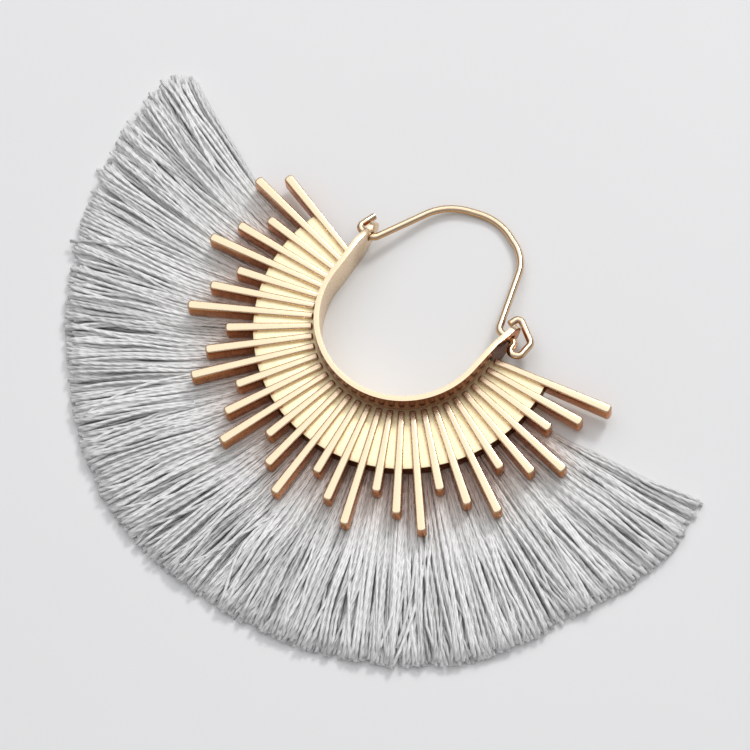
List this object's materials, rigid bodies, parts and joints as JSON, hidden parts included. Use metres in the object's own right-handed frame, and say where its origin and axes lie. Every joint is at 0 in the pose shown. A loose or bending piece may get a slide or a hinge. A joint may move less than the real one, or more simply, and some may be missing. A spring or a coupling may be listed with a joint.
{
  "type": "tassel earring",
  "caption": "Fan tassel earring with a cast sunburst hoop, a hinged ear wire that hooks through an eye, and a wide fan of cut threads",
  "frame": {"origin": "the centre of the hoop's round part, on the surface that the earring lies on", "axes": "+Z is the front, away from the surface; +Y points from the hoop's centre to the top of the ear wire; +X points to the side of the wire's closed loop"},
  "size_m": [0.0826, 0.0565, 0.0052],
  "materials": {
    "gold_plate": "pale gold plating, satin on the plate and polished on the rays and the band's front edge",
    "gold_wire": "polished pale gold plating",
    "silver_thread": "silky silver-grey plied thread"
  },
  "bodies": {
    "hoop": {"sunburst_hoop": "gold_plate", "fringe": "silver_thread"},
    "wire": {"ear_wire": "gold_wire"}
  },
  "joints": [
    {"name": "wire_swing", "type": "hinge", "parent": "hoop", "child": "wire", "pos_m": [0, 0.00595, 0.0025], "axis": [1, 0, 0], "range_deg": [-90, 100]}
  ]
}
